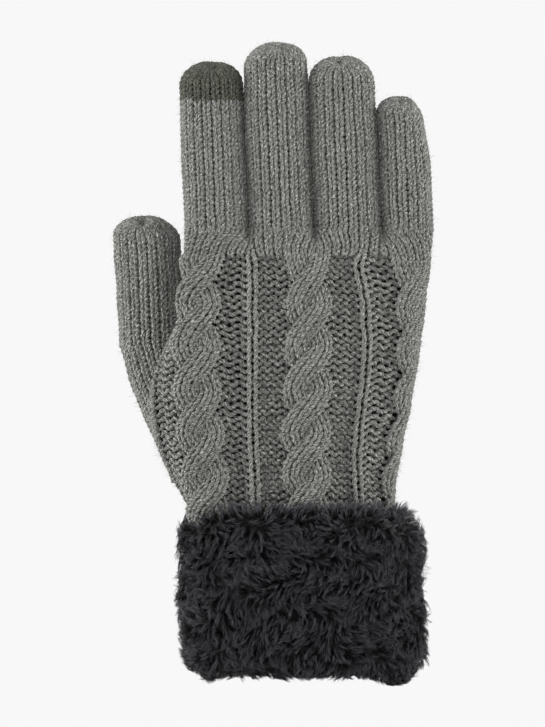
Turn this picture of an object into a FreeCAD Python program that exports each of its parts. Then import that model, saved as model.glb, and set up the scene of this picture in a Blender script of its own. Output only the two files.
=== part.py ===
"""A lined knitted glove for the right hand, with a cable-knit back and a turned-back plush cuff.

Millimetres. The glove stands on its cuff with the fingers up: +Z runs from the wrist to the fingertips,
-Y is the back of the hand and +X is the little-finger side. The origin is the middle of the wrist opening.
Every digit is a knitted sleeve with a fleece lining, cut where the hand inside it bends.
"""
import FreeCAD, Part

import math
import os

Vector = FreeCAD.Vector

# Layers of cloth
KNIT_WALL = 2.4          # the knitted outer
LINING_WALL = 1.6        # the fleece lining
LAYER_GAP = 0.15         # slip between the knit and the lining
SLEEVE_GAP = 0.3         # between two sleeves that bend against each other
FINGER_GAP = 0.6         # between two fingers that lie side by side

# The hand tube, from the mouth to the finger roots
MOUTH_FOLD = 4.0         # the plush folds under the knit at the mouth
ROOT_HEIGHT = 176.0      # where the fingers leave the hand
YOKE_HEIGHT = 10.5       # the plain band that the fingers are picked up from
HAND_SQUARENESS = 2.5    # exponent of the hand's section: 2 is an ellipse
# Stations up the hand: share of the way from the mouth to the finger roots, left edge, right edge, half depth
HAND_STATIONS = [
    (0.0, -38.0, 36.5, 15.0),
    (0.21, -40.0, 36.5, 15.0),
    (0.372, -42.5, 37.0, 15.5),
    (0.512, -47.0, 41.5, 16.5),
    (0.628, -47.5, 44.5, 16.5),
    (0.738, -46.5, 47.5, 15.5),
    (0.849, -46.0, 49.5, 13.5),
    (1.0, -46.0, 51.3, 11.0),
]
HAND_SECTIONS = 14       # even steps between the hand's sections
SECTION_POINTS = 20      # fitting points round one section of the hand

# The cabled panel on the back of the hand: three cables and two narrow ribs on a sunken purl ground
GROUND_DROP = 0.8        # how far the purl ground lies under the plain knit
PANEL_SIDE = 4.0         # the panel ends this far short of the hand's middle plane, round its sides
CABLE_REPEAT = 16.3      # from one crossing to the next
CABLE_STEPS = 4          # sections in one repeat of a cable
CABLE_HALF_WIDTH = (6.9, 5.8)    # between crossings, and at a crossing
CABLE_RISE = (2.1, 3.3)          # over the ground: between crossings, and at a crossing
RIB_HALF_WIDTH = 2.7
RIB_RISE = 1.9
RAISED_GAP = 0.02        # between a raised column and the ground that it lies on
RAISED_ROOT = 0.5        # how deep a raised column's section runs before it is cut to the ground
RAISED_POINTS = 9        # fitting points across one section of a raised column
WALK_STEPS = 600         # steps across the back of the hand when a column is placed
# Raised columns: share of the hand's width from its thumb side at the cuff and at the top, highest crossing
RAISED_COLUMNS = {
    "cable_thumb_side": (0.125, 0.086, 0.80),
    "rib_thumb_side": (0.343, 0.288, None),
    "cable_middle": (0.562, 0.497, 0.852),
    "rib_little_side": (0.757, 0.706, None),
    "cable_little_side": (0.938, 0.912, 0.80),
}

# The thumb's root, which grows out of the palm side of the hand
THUMB_ROOT_SECTION = (13.2, 11.0)
# Stations up the thumb's root: share of the way from the mouth to the finger roots, centre x, centre y
THUMB_STATIONS = [
    (0.337, -28.5, 1.5),
    (0.413, -35.7, 3.0),
    (0.512, -43.7, 4.7),
    (0.622, -52.0, 6.5),
    (0.738, -58.8, 8.0),
]

# Digits: half width, half depth, length above the root, dome height, joints as shares of the length
LEAN_ANGLE = 2.3         # degrees that the digits lean towards the thumb side
DOME_TURN = 80.0         # degrees that a domed end turns through before its flat crown
DOME_STEPS = 4           # sections along a domed end
INDEX_X = -33.3          # middle of the index finger's root
FINGERS = {
    "index": {"half_width": 12.3, "half_depth": 10.3, "length": 65.0, "dome": 10.0, "joints": (0.415, 0.77)},
    "middle": {"half_width": 12.4, "half_depth": 10.4, "length": 72.0, "dome": 9.0, "joints": (0.417, 0.736)},
    "ring": {"half_width": 12.9, "half_depth": 10.4, "length": 67.0, "dome": 10.5, "joints": (0.418, 0.746)},
    "little": {"half_width": 9.7, "half_depth": 9.3, "length": 51.5, "dome": 9.0, "joints": (0.427, 0.728)},
}
THUMB = {
    "half_width": THUMB_ROOT_SECTION[0],
    "half_depth": THUMB_ROOT_SECTION[1],
    "length": 50.4,
    "dome": 9.5,
    "joints": (0.516,),
}

# The turned-back plush cuff
CUFF_HEIGHT = 67.0
CUFF_HALF_WIDTH = 48.3
CUFF_HALF_DEPTH = 27.5
CUFF_WAIST = 1.2         # how far the cuff's sides pull in at mid height
CUFF_EDGE = 7.0          # radius that rounds the cuff's top and bottom edges
CUFF_EDGE_STEPS = 4      # sections along one rounded edge
CUFF_SIDE_STEPS = 10     # steps between the cuff's sections along its side
CUFF_POINTS = 40         # fitting points round one section of the cuff
TUFT_SWELL = 1.1         # how far the tufts of the pile swell and sink over the cuff's mean surface
TUFTS_ROUND = 10         # swells round the cuff
TUFT_HEIGHT = 30.0       # from one swell to the next, up the cuff
TUFT_DRIFT = 1.2         # radians that the swells drift sideways up the cuff
CUFF_CLEARANCE = 0.3     # between the plush and the knit that it wraps

# Sewing
HEM_THREAD = 0.5         # radius of the seam thread round the mouth
HEM_HEIGHT = 1.6         # height of that seam above the mouth
CLOSURE_SIZE = (3.2, 1.5, 0.7)   # half width, half depth and rise of the knot that closes a digit's tip

BELOW = -10.0            # how far a cutting form runs past an open end
PARTS = "parts"


def section(height, left, right, half_depth, inset=0.0):
    """One closed, rounded section of the hand, taken in by inset on every side."""
    a = (right - left) / 2 - inset
    b = half_depth - inset
    middle = (left + right) / 2
    power = 2 / HAND_SQUARENESS
    points = []
    for k in range(SECTION_POINTS):
        turn = 2 * math.pi * (k + 0.5) / SECTION_POINTS
        c, s = math.cos(turn), math.sin(turn)
        x = a * math.copysign(abs(c) ** power, c)
        y = b * math.copysign(abs(s) ** power, s)
        points.append(Vector(middle + x, y, height))
    curve = Part.BSplineCurve()
    curve.interpolate(points, PeriodicFlag=True)
    return Part.Wire(curve.toShape())


def ellipse(x, y, height, a, b):
    """A level ellipse with half sizes a along X and b along Y."""
    centre = Vector(x, y, height)
    if a >= b:
        shape = Part.Ellipse(centre + Vector(a, 0, 0), centre + Vector(0, b, 0), centre)
    else:
        shape = Part.Ellipse(centre + Vector(0, b, 0), centre + Vector(-a, 0, 0), centre)
    return Part.Wire(shape.toShape())


def slab(low, high, reach=200.0):
    """Everything between two heights."""
    return Part.makeBox(2 * reach, 2 * reach, high - low, Vector(-reach, -reach, low))


def hand_height(share):
    """Height of a station that lies that share of the way from the mouth to the finger roots."""
    return MOUTH_FOLD + share * (ROOT_HEIGHT - MOUTH_FOLD)


def hand_profile(height):
    """Left edge, right edge and half depth of the hand at one height, between its stations."""
    place = (height - MOUTH_FOLD) / (ROOT_HEIGHT - MOUTH_FOLD)
    for low, high in zip(HAND_STATIONS, HAND_STATIONS[1:]):
        if place <= high[0]:
            share = (place - low[0]) / (high[0] - low[0])
            return [a + share * (b - a) for a, b in zip(low[1:], high[1:])]
    return list(HAND_STATIONS[-1][1:])


def hand_form(inset, open_mouth):
    """The hand tube without the thumb, taken in by inset. With an open mouth it runs on below the cuff."""
    step = (ROOT_HEIGHT - MOUTH_FOLD) / HAND_SECTIONS
    heights = [MOUTH_FOLD + step * k for k in range(HAND_SECTIONS)] + [ROOT_HEIGHT - inset]
    form = Part.makeLoft([section(z, *hand_profile(z), inset) for z in heights], True)
    if not open_mouth:
        return form
    mouth = Part.Face(section(BELOW, *hand_profile(MOUTH_FOLD), inset))
    return form.fuse(mouth.extrude(Vector(0, 0, MOUTH_FOLD - BELOW)))


def thumb_root_form(inset, open_top):
    """The thumb's root, taken in by inset. With an open top it runs on into the thumb."""
    a, b = (half - inset for half in THUMB_ROOT_SECTION)
    form = Part.makeLoft([ellipse(x, y, hand_height(share), a, b) for share, x, y in THUMB_STATIONS], True)
    if not open_top:
        return form
    share, x, y = THUMB_STATIONS[-1]
    top = hand_height(share)
    chimney = Part.makeLoft([ellipse(x, y, z, a, b) for z in (top, top + KNIT_WALL)], True)
    return form.fuse(chimney)


def hand_layer(outer_inset, inner_inset):
    """One layer of cloth of the hand, open at the mouth, at every finger and at the thumb's root."""
    layer = hand_form(outer_inset, False).cut(hand_form(inner_inset, True))
    layer = layer.cut(thumb_root_form(inner_inset, True))
    for name in FINGERS:
        digit = FINGERS[name]
        low = ROOT_HEIGHT - 2 * KNIT_WALL - LINING_WALL
        a, b = digit["half_width"] - inner_inset, digit["half_depth"] - inner_inset
        hole = Part.Face(ellipse(finger_root_x(name), 0, low, a, b)).extrude(Vector(0, 0, 4 * KNIT_WALL))
        layer = layer.cut(hole)
    return layer


def back_of_hand(height):
    """Places on the ground from side to side over the back of the hand, and a little way round each side."""
    left, right, half_depth = hand_profile(height)
    a, b = (right - left) / 2 - GROUND_DROP, half_depth - GROUND_DROP
    middle = (left + right) / 2
    power = 2 / HAND_SQUARENESS
    places = []
    for k in range(WALK_STEPS + 1):
        turn = math.pi * (1.5 * k / WALK_STEPS - 1.25)
        c, s = math.cos(turn), math.sin(turn)
        x = a * math.copysign(abs(c) ** power, c)
        y = b * math.copysign(abs(s) ** power, s)
        places.append(Vector(middle + x, y, height))
    return places


def column_section(height, share, half_width, rise):
    """A raised column's section at one height: a low arch that follows the ground across the hand."""
    places = back_of_hand(height)
    left, right, _ = hand_profile(height)
    behind = [k for k, place in enumerate(places) if place.y < 0]
    start = min(behind, key=lambda k: abs(places[k].x - left - share * (right - left)))
    run = [0.0]
    for low, high in zip(places, places[1:]):
        run.append(run[-1] + high.distanceToPoint(low))
    arch, foot = [], []
    for k in range(RAISED_POINTS):
        across = math.cos(math.pi * k / (RAISED_POINTS - 1))
        along = run[start] + across * half_width
        spot = max(j for j in range(len(places) - 1) if run[j] <= along)
        step = places[spot + 1] - places[spot]
        place = places[spot] + step * ((along - run[spot]) / (run[spot + 1] - run[spot]))
        outward = Vector(step.y, -step.x, 0).normalize()
        arch.append(place + outward * (rise * math.sqrt(max(0.0, 1 - across * across))))
        foot.append(place - outward * RAISED_ROOT)
    curve = Part.BSplineCurve()
    curve.interpolate([*arch, *reversed(foot)], PeriodicFlag=True)
    return Part.Wire(curve.toShape())


def raised_column(low_share, high_share, crossing):
    """A cable, waisted and higher at every crossing, or a plain rib where there is no crossing."""
    low, high = CUFF_HEIGHT + CUFF_CLEARANCE, ROOT_HEIGHT - YOKE_HEIGHT
    count = round((high - low) * CABLE_STEPS / CABLE_REPEAT)
    sections = []
    for k in range(count + 1):
        height = low + (high - low) * k / count
        share = low_share + (high_share - low_share) * k / count
        half_width, rise = RIB_HALF_WIDTH, RIB_RISE
        if crossing is not None:
            near = (1 + math.cos(2 * math.pi * (height - hand_height(crossing)) / CABLE_REPEAT)) / 2
            half_width = CABLE_HALF_WIDTH[0] + near * (CABLE_HALF_WIDTH[1] - CABLE_HALF_WIDTH[0])
            rise = CABLE_RISE[0] + near * (CABLE_RISE[1] - CABLE_RISE[0])
        sections.append(column_section(height, share, half_width, rise))
    return Part.makeLoft(sections, True)


def hand_knit_pieces():
    """The knitted hand: its cabled back, its plain palm, and the yoke that the fingers grow from."""
    whole = hand_layer(0.0, KNIT_WALL)
    panel_top = ROOT_HEIGHT - YOKE_HEIGHT
    panel_low = CUFF_HEIGHT + CUFF_CLEARANCE
    tube = whole.common(slab(MOUTH_FOLD, panel_top))
    behind = Part.makeBox(400, 200, 400, Vector(-200, -200, -100))
    sunk = Part.makeBox(400, 200, panel_top - panel_low, Vector(-200, -200 - PANEL_SIDE, panel_low))
    ground = hand_form(GROUND_DROP, False)
    pieces = {
        "hand_back_knit": tube.common(behind).cut(sunk.cut(ground)),
        "hand_palm_knit": tube.cut(behind),
        "finger_yoke_knit": whole.common(slab(panel_top, ROOT_HEIGHT)),
    }
    in_front = Part.makeBox(400, 400, 400, Vector(-200, -PANEL_SIDE, 0))
    bed = hand_form(GROUND_DROP - RAISED_GAP, False).fuse(in_front)
    for name, column in RAISED_COLUMNS.items():
        pieces[name] = raised_column(*column).cut(bed)
    return pieces


def thumb_root_layer(outer_inset, inner_inset):
    """One layer of cloth of the thumb's root, knitted on to the hand and open into it."""
    layer = thumb_root_form(outer_inset, False).cut(thumb_root_form(inner_inset, True))
    return layer.cut(hand_form(outer_inset, False))


def finger_root_x(name):
    """Middle of a finger's root: the fingers lie side by side from the index finger outwards."""
    x = INDEX_X
    previous = None
    for finger in FINGERS:
        if previous is not None:
            x += FINGERS[previous]["half_width"] + FINGER_GAP + FINGERS[finger]["half_width"]
        if finger == name:
            return x
        previous = finger
    raise KeyError(name)


def dome_stations(digit, inset):
    """Height above the shoulder and share of the full section, up a digit's domed end."""
    rise = digit["dome"] - inset
    turns = [math.radians(DOME_TURN * k / DOME_STEPS) for k in range(DOME_STEPS + 1)]
    return [(rise * math.sin(turn), math.cos(turn)) for turn in turns]


def digit_form(digit, inset, low):
    """An upright digit with a domed end, taken in by inset, from a height above its root to its tip."""
    a = digit["half_width"] - inset
    b = digit["half_depth"] - inset
    shoulder = digit["length"] - digit["dome"]
    shaft = Part.Face(ellipse(0, 0, low, a, b)).extrude(Vector(0, 0, shoulder - low))
    dome = dome_stations(digit, inset)
    sections = [ellipse(0, 0, shoulder + rise, a * share, b * share) for rise, share in dome]
    return shaft.fuse(Part.makeLoft(sections, True))


def digit_sleeve(digit, outer_inset, inner_inset, low, high):
    """One sleeve of a digit between two heights above its root. Without a high end it runs over the tip."""
    if high is None:
        return digit_form(digit, outer_inset, low).cut(digit_form(digit, inner_inset, low - KNIT_WALL))
    outer, inner = (
        Part.Face(
            ellipse(0, 0, low - slack, digit["half_width"] - inset, digit["half_depth"] - inset)
        ).extrude(Vector(0, 0, high - low + 2 * slack))
        for inset, slack in ((outer_inset, 0.0), (inner_inset, KNIT_WALL))
    )
    return outer.cut(inner)


def tip_closure(digit):
    """The flat knot of yarn that draws a digit's tip shut, seated on the tip."""
    a, b, rise = CLOSURE_SIZE
    low = digit["length"] - digit["dome"] / 2
    coin = Part.Face(ellipse(0, 0, low, a, b)).extrude(Vector(0, 0, digit["length"] + rise - low))
    return coin.cut(digit_form(digit, 0.0, 0.0))


def digit_pieces(name, digit, root):
    """A digit's knitted and lining sleeves, cut at its joints, and the knot that closes its tip."""
    names = ["proximal", "middle", "tip"] if len(digit["joints"]) == 2 else ["proximal", "tip"]
    # The leaning foot of a digit stands clear of the hand at its lower corner
    foot = digit["half_width"] * math.tan(math.radians(LEAN_ANGLE)) + SLEEVE_GAP
    cuts = [foot, *(digit["length"] * share for share in digit["joints"])]
    lining_out = KNIT_WALL + LAYER_GAP
    layers = {"knit": (0.0, KNIT_WALL), "lining": (lining_out, lining_out + LINING_WALL)}
    pieces = {}
    for layer, (outer_inset, inner_inset) in layers.items():
        for k, segment in enumerate(names):
            low = cuts[k] + (SLEEVE_GAP / 2 if k else 0.0)
            high = cuts[k + 1] - SLEEVE_GAP / 2 if k + 1 < len(cuts) else None
            pieces[f"{name}_{layer}_{segment}"] = digit_sleeve(digit, outer_inset, inner_inset, low, high)
    pieces[f"{name}_tip_closure"] = tip_closure(digit)
    for piece in pieces.values():
        piece.rotate(Vector(0, 0, 0), Vector(0, 1, 0), -LEAN_ANGLE)
        piece.translate(Vector(*root))
    return pieces


def cuff_outline(height):
    """Half width and half depth of the plush cuff at one height: waisted, with rounded edges."""
    share = 2 * height / CUFF_HEIGHT - 1
    waist = CUFF_WAIST * (1 - share * share)
    edge = min(height, CUFF_HEIGHT - height)
    pull = 0.0
    if edge < CUFF_EDGE:
        pull = CUFF_EDGE - math.sqrt(CUFF_EDGE ** 2 - (CUFF_EDGE - edge) ** 2)
    return CUFF_HALF_WIDTH - waist - pull, CUFF_HALF_DEPTH - waist - pull


def cuff_heights():
    """Heights of the cuff's sections: closer together along its rounded edges."""
    edge = [CUFF_EDGE * (1 - math.cos(math.pi / 2 * k / CUFF_EDGE_STEPS)) for k in range(CUFF_EDGE_STEPS + 1)]
    straight = CUFF_HEIGHT - 2 * CUFF_EDGE
    side = [CUFF_EDGE + straight * k / CUFF_SIDE_STEPS for k in range(1, CUFF_SIDE_STEPS)]
    return [*edge, *side, *(CUFF_HEIGHT - z for z in reversed(edge))]


def tuft_swell(turn, height):
    """How far the pile swells over the cuff's mean surface at one place. It dies out at the cuff's edges."""
    fade = min(1.0, height / CUFF_EDGE, (CUFF_HEIGHT - height) / CUFF_EDGE)
    rise = 2 * math.pi * height / TUFT_HEIGHT
    around = math.sin(TUFTS_ROUND * turn + TUFT_DRIFT * math.sin(rise / 2))
    return TUFT_SWELL * fade * around * math.sin(rise + 2 * turn)


def cuff_section(height):
    """The plush cuff's outline at one height, swollen by its tufts."""
    half_width, half_depth = cuff_outline(height)
    points = []
    for k in range(CUFF_POINTS):
        turn = 2 * math.pi * k / CUFF_POINTS
        swell = tuft_swell(turn, height)
        x = (half_width + swell) * math.cos(turn)
        y = (half_depth + swell) * math.sin(turn)
        points.append(Vector(x, y, height))
    curve = Part.BSplineCurve()
    curve.interpolate(points, PeriodicFlag=True)
    return Part.Wire(curve.toShape())


def mouth_section(height, inset=0.0):
    """The rounded opening that the hand goes into, taken in by inset."""
    station = HAND_STATIONS[0]
    return section(height, *station[1:], KNIT_WALL + LAYER_GAP + LINING_WALL + inset)


def fur_cuff():
    """The plush band round the wrist. It folds under the knit and leaves the mouth open."""
    outer = Part.makeLoft([cuff_section(z) for z in cuff_heights()], True)
    wrist = hand_form(-CUFF_CLEARANCE, False).fuse(thumb_root_form(-CUFF_CLEARANCE, False))
    wrist = wrist.common(slab(MOUTH_FOLD - CUFF_CLEARANCE, CUFF_HEIGHT + 1))
    mouth = Part.makeLoft([mouth_section(z) for z in (BELOW, MOUTH_FOLD + 1)], True)
    return outer.cut(wrist).cut(mouth)


def hem_seam():
    """The flat seam thread that runs round the inside of the mouth, on the plush fold."""
    low = HEM_HEIGHT - HEM_THREAD
    ring = Part.Face(mouth_section(low)).cut(Part.Face(mouth_section(low, 2 * HEM_THREAD)))
    return ring.extrude(Vector(0, 0, 2 * HEM_THREAD))


def build():
    """Every named piece of the glove."""
    lining_out = KNIT_WALL + LAYER_GAP
    pieces = {
        **hand_knit_pieces(),
        "hand_lining": hand_layer(lining_out, lining_out + LINING_WALL),
        "thumb_root_knit": thumb_root_layer(0.0, KNIT_WALL),
        "thumb_root_lining": thumb_root_layer(lining_out, lining_out + LINING_WALL),
        "fur_cuff": fur_cuff(),
        "cuff_hem_seam": hem_seam(),
    }
    for name, digit in FINGERS.items():
        pieces.update(digit_pieces(name, digit, (finger_root_x(name), 0.0, ROOT_HEIGHT)))
    share, x, y = THUMB_STATIONS[-1]
    pieces.update(digit_pieces("thumb", THUMB, (x, y, hand_height(share))))
    pieces["index_touch_tip"] = pieces.pop("index_knit_tip")
    return pieces


def main():
    os.makedirs(PARTS, exist_ok=True)
    for name, shape in build().items():
        solids = shape.Solids
        whole = solids[0] if len(solids) == 1 else Part.makeCompound(solids)
        whole.exportStep(os.path.join(PARTS, name + ".step"))
        box = whole.optimalBoundingBox()
        print(
            f"{name:26s} solids {len(solids)} valid {whole.isValid()} volume {whole.Volume:9.1f}"
            f" z {box.ZMin:7.2f} {box.ZMax:7.2f} x {box.XMin:7.2f} {box.XMax:7.2f} y {box.YMin:7.2f} {box.YMax:7.2f}"
        )


main()
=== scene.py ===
# %% [markdown]
# # A lined cable-knit glove with a plush cuff
#
# The glove is built the way it is made. One yarn is knitted round and round each digit and round the hand,
# so every stitch here is a real loop of yarn. Cables cross on the back of the hand. A fleece lining lies
# inside, and a band of long-pile plush goes round the wrist.
#
# Lengths are in millimetres until a mesh is made, and Blender gets metres. The glove stands on its cuff:
# +Z runs to the fingertips, -Y is the back of the hand and +X is the little-finger side.

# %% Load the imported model
import math

import bpy
import numpy as np
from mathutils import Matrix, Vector


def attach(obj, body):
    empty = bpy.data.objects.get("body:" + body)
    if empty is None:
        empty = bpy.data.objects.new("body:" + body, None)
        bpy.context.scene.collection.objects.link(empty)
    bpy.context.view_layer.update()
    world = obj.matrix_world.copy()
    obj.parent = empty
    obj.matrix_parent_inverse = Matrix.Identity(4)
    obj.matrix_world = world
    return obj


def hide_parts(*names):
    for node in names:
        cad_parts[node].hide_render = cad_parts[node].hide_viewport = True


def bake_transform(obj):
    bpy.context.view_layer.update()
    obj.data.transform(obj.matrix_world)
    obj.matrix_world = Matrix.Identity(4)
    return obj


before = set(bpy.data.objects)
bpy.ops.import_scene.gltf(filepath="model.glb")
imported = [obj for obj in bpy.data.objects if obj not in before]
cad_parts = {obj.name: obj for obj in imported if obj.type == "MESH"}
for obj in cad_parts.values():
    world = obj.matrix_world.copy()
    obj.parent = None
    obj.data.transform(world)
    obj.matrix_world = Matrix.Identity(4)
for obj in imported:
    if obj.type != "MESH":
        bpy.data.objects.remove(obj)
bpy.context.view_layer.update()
MM = 0.001

# %% [markdown]
# ## Sizes
#
# The digits match the CAD sleeves. The yarn's middle line runs inside each sleeve's outer face by
# `YARN_INSET`, so the loops fill the thickness of the CAD knit.

# %% Sizes of the glove
LEAN = math.radians(2.3)      # the digits lean towards the thumb side
ROOT_HEIGHT = 176.0           # where the fingers leave the hand
YARN_RADIUS = 0.74
YARN_INSET = 1.35
PRESSED = 0.8                 # neighbouring fingers press together by this much on each side
FREE = 0.3                    # swell of a side with no neighbour
FINGER_ROW = 2.07             # height of one row of stitches on a digit
HAND_ROW = 2.72               # height of one row on the back of the hand
PLAIN_ROW = 2.1               # height of one of the plain rows under the fingers

# x, a and b: place and half sizes at the root. swell: how far each side is pressed out. tip: sideways shift
# of the gathered end. narrow: how much slimmer each side gets towards the end. notch: place of the gather's
# dent.
FINGERS = {
    "index": dict(x=-33.3, a=12.3, b=10.3, length=65.0, dome=10.0, joints=(27.0, 50.0), wales=20,
                  swell=(FREE, PRESSED), tip=0.0, narrow=(0.0, 0.3), notch=2.0),
    "middle": dict(x=-8.0, a=12.4, b=10.4, length=72.0, dome=9.0, joints=(30.0, 53.0), wales=20,
                   swell=(PRESSED, PRESSED), tip=0.9, narrow=(0.9, 0.3), notch=3.6),
    "ring": dict(x=17.9, a=12.9, b=10.4, length=67.0, dome=10.5, joints=(28.0, 50.0), wales=20,
                 swell=(PRESSED, PRESSED), tip=-0.5, narrow=(0.4, 1.1), notch=-0.6),
    "little": dict(x=41.1, a=9.7, b=9.3, length=51.5, dome=9.0, joints=(22.0, 37.5), wales=16,
                   swell=(PRESSED, FREE), tip=-1.2, narrow=(-0.3, 2.0), notch=-0.8),
}
THUMB = dict(x=-58.8, y=8.0, z=131.0, a=13.2, b=11.0, length=50.4, dome=9.5, joints=(26.0,), wales=20,
             swell=(FREE, FREE), tip=-1.5, narrow=(-0.8, 0.6), notch=-1.5)
SEGMENTS = {2: ("proximal", "middle", "tip"), 1: ("proximal", "tip")}
print("digits:", ", ".join(FINGERS), "and the thumb")

# %% [markdown]
# ## Materials
#
# Every material is built from noise and simple maths. The yarn materials read the `yarn` map, whose first
# number is the distance along the yarn and whose second goes once round it. That lets the plies spiral
# along each loop and the dyed fibres run with the yarn.

# %% Helpers for colours and nodes
def rgb(code):
    """A colour picked from a screen, as the linear light that Blender mixes."""
    values = [int(code[i:i + 2], 16) / 255 for i in (1, 3, 5)]
    return [v / 12.92 if v <= 0.04045 else ((v + 0.055) / 1.055) ** 2.4 for v in values] + [1.0]


def node(tree, kind, inputs=None, **settings):
    """Add a node. An input is a value, or the output socket of another node."""
    made = tree.nodes.new(kind)
    for key, value in settings.items():
        setattr(made, key, value)
    for key, value in (inputs or {}).items():
        if isinstance(value, bpy.types.NodeSocket):
            tree.links.new(value, made.inputs[key])
        else:
            made.inputs[key].default_value = value
    return made


def new_material(name):
    material = bpy.data.materials.new(name)
    material.use_nodes = True
    tree = material.node_tree
    tree.nodes.clear()
    return material, tree


def ramp(tree, value, stops):
    """A colour ramp through (position, colour code) stops."""
    made = node(tree, "ShaderNodeValToRGB", {"Fac": value})
    elements = made.color_ramp.elements
    while len(elements) < len(stops):
        elements.new(0.5)
    for element, (position, code) in zip(elements, stops):
        element.position = position
        element.color = rgb(code)
    return made.outputs["Color"]


# %% [markdown]
# ### Yarn, fleece and plush
#
# The real yarn is spun from fibres dyed in several greys. Stretched noise along the yarn gives those
# flecks, and a sine across it gives the plies, as bumps and as painted shade in the grooves between them.
# It is simpler than modelling each ply, and it holds from any side.

# %% Yarn, fleece and plush
def yarn_material(name, dark, middle, light, plies=3, ply_pitch=4.2):
    """Spun yarn: dyed fibres that run along it, and plies that twist round it, with painted shade in their
    grooves.
    """
    material, tree = new_material(name)
    uv = node(tree, "ShaderNodeUVMap", uv_map="yarn").outputs["UV"]
    split = node(tree, "ShaderNodeSeparateXYZ", {"Vector": uv})
    along, around = split.outputs["X"], split.outputs["Y"]
    turns = node(tree, "ShaderNodeMath", {0: along, 1: 1 / ply_pitch}, operation="MULTIPLY").outputs[0]
    twisted = node(tree, "ShaderNodeMath", {0: around, 1: turns}, operation="ADD").outputs[0]
    turn = 2 * math.pi * plies
    phase = node(tree, "ShaderNodeMath", {0: twisted, 1: turn}, operation="MULTIPLY").outputs[0]
    ply = node(tree, "ShaderNodeMath", {0: phase}, operation="SINE").outputs[0]
    fibre_place = node(tree, "ShaderNodeCombineXYZ", {"X": along, "Y": twisted})
    stretched = node(tree, "ShaderNodeVectorMath", {0: fibre_place.outputs[0], 1: (0.8, 9.0, 1.0)},
                     operation="MULTIPLY").outputs[0]
    fleck = node(tree, "ShaderNodeTexNoise", {"Vector": stretched, "Scale": 1.0, "Detail": 4.0,
                                              "Roughness": 0.7}).outputs["Fac"]
    colour = ramp(tree, fleck, [(0.38, dark), (0.50, middle), (0.62, light)])
    # The grooves between the plies are darkened: painted shade, on top of the bump below.
    painted_groove_shade = node(tree, "ShaderNodeMapRange", {"Value": ply, "From Min": -1.0, "From Max": 0.3,
                                               "To Min": 0.76, "To Max": 1.0}).outputs["Result"]
    shade = node(tree, "ShaderNodeMix", {0: 1.0, 6: colour, 7: painted_groove_shade}, data_type="RGBA",
                 blend_type="MULTIPLY")
    height = node(tree, "ShaderNodeMath", {0: fleck, 1: ply}, operation="ADD").outputs[0]
    bump = node(tree, "ShaderNodeBump", {"Height": height, "Strength": 0.5, "Distance": 0.0004})
    shader = node(tree, "ShaderNodeBsdfPrincipled", {
        "Base Color": shade.outputs[2], "Roughness": 0.92, "Specular IOR Level": 0.15,
        "Sheen Weight": 0.06, "Sheen Roughness": 0.45, "Normal": bump.outputs["Normal"],
    })
    node(tree, "ShaderNodeOutputMaterial", {"Surface": shader.outputs[0]})
    return material


def cloth_material(name, dark, light, scale):
    """A soft napped cloth, such as brushed fleece."""
    material, tree = new_material(name)
    place = node(tree, "ShaderNodeTexCoord").outputs["Object"]
    nap = node(tree, "ShaderNodeTexNoise", {"Vector": place, "Scale": scale, "Detail": 5.0,
                                            "Roughness": 0.75})
    colour = ramp(tree, nap.outputs["Fac"], [(0.35, dark), (0.68, light)])
    bump = node(tree, "ShaderNodeBump", {"Height": nap.outputs["Fac"], "Strength": 0.8, "Distance": 0.0008})
    shader = node(tree, "ShaderNodeBsdfPrincipled", {
        "Base Color": colour, "Roughness": 0.95, "Specular IOR Level": 0.1, "Sheen Weight": 0.3,
        "Sheen Roughness": 0.5, "Normal": bump.outputs["Normal"],
    })
    node(tree, "ShaderNodeOutputMaterial", {"Surface": shader.outputs[0]})
    return material


def pile_material(name, root, tip, painted_highlight):
    """Pile fibres: painted shade at the root, their own colour along the shaft, a painted highlight
    at the tip and a soft shine. The map runs root to tip.
    """
    material, tree = new_material(name)
    uv = node(tree, "ShaderNodeUVMap", uv_map="yarn").outputs["UV"]
    split = node(tree, "ShaderNodeSeparateXYZ", {"Vector": uv})
    # Painted shade at the root, the pile's own colour at 0.55 and a painted highlight at the tip.
    colour = ramp(tree, split.outputs["X"], [(0.0, root), (0.55, tip), (1.0, painted_highlight)])
    vary = node(tree, "ShaderNodeTexNoise", {"Vector": uv, "Scale": 3.0, "Detail": 2.0})
    gain = node(tree, "ShaderNodeMapRange", {"Value": vary.outputs["Fac"], "From Min": 0.3, "From Max": 0.7,
                                             "To Min": 0.7, "To Max": 1.3}).outputs["Result"]
    shade = node(tree, "ShaderNodeMix", {0: 1.0, 6: colour, 7: gain}, data_type="RGBA",
                 blend_type="MULTIPLY")
    shader = node(tree, "ShaderNodeBsdfPrincipled", {
        "Base Color": shade.outputs[2], "Roughness": 0.42, "Specular IOR Level": 0.22,
    })
    node(tree, "ShaderNodeOutputMaterial", {"Surface": shader.outputs[0]})
    return material


GREY_YARN = yarn_material("heathered grey wool-blend yarn", "#343533", "#656662", "#a1a29d")
TOUCH_YARN = yarn_material("darker conductive yarn", "#262722", "#41423b", "#636459")
# Painted shade at the root and a painted highlight at the tip of the loose fibres.
GREY_FIBRE = pile_material("loose grey wool fibres", "#5a5b57", "#787973", "#8c8d87")
FLEECE = cloth_material("brushed charcoal fleece", "#101012", "#2b2b2e", 900.0)
PLUSH_BACK = cloth_material("charcoal plush backing", "#050506", "#0f0f11", 700.0)
# Painted shade at the root and a painted highlight at the tip of the plush pile.
PLUSH = pile_material("charcoal plush pile", "#050505", "#100f11", "#47454b")
THREAD = yarn_material("black polyester sewing thread", "#0c0c0d", "#1a1a1c", "#2c2c2f", 2, 1.2)
print("materials:", len(bpy.data.materials))

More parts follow.
